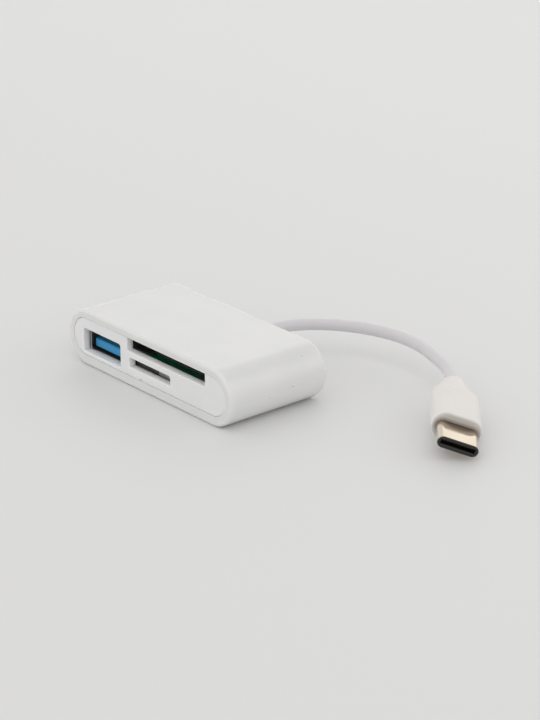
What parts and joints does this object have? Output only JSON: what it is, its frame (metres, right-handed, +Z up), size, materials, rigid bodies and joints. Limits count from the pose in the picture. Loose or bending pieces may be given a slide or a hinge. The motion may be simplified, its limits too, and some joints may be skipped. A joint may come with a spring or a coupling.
{
  "type": "usb memory card reader",
  "caption": "Flat white card reader with rounded ends, a host port and card slots in its front, and a short captive cable from the rear to a reversible oval plug.",
  "frame": {"origin": "under the middle of the housing, on the surface it stands on", "axes": "+X to the right along the front, +Y to the rear where the cable leaves, +Z up"},
  "size_m": [0.0932, 0.0513, 0.0122],
  "materials": {
    "housing_white": "smooth white, half gloss",
    "plate_white": "fine white, matt",
    "port_nickel": "plated sheet, warm",
    "tongue_blue": "light blue insulator",
    "contact_gold": "gold flash",
    "board_green": "green solder mask on glass laminate",
    "socket_black": "black moulding",
    "cover_steel": "bright sheet",
    "liner_black": "black liner, half gloss",
    "chip_black": "moulded package",
    "ceramic_tan": "ceramic",
    "cable_grey": "soft jacket, pale grey",
    "core_red": "wire insulation",
    "grip_white": "warm white moulding, satin",
    "plug_gold": "pale gold plating, polished"
  },
  "bodies": {
    "root": {"housing_sleeve": "housing_white", "front_plate": "plate_white", "port_shell": "port_nickel", "port_tongue": "tongue_blue", "port_contacts_short": "contact_gold", "port_contacts_long": "contact_gold", "socket_board": "board_green", "large_card_frame": "socket_black", "large_card_contacts": "contact_gold", "large_card_cover": "cover_steel", "small_card_base": "socket_black", "small_card_contacts": "contact_gold", "small_card_cover": "cover_steel", "controller_chip": "chip_black", "hub_chip": "chip_black", "regulator": "chip_black", "crystal": "cover_steel", "capacitors": "ceramic_tan", "resistors": "chip_black", "cable_bushing": "cable_grey", "cable_cores": "core_red", "cable": "cable_grey", "plug_overmould": "grip_white", "plug_shell": "plug_gold", "plug_insulator": "liner_black", "plug_contacts": "contact_gold", "plug_latch_springs": "cover_steel", "plug_board": "board_green", "plug_inner_mould": "grip_white"}
  },
  "joints": []
}
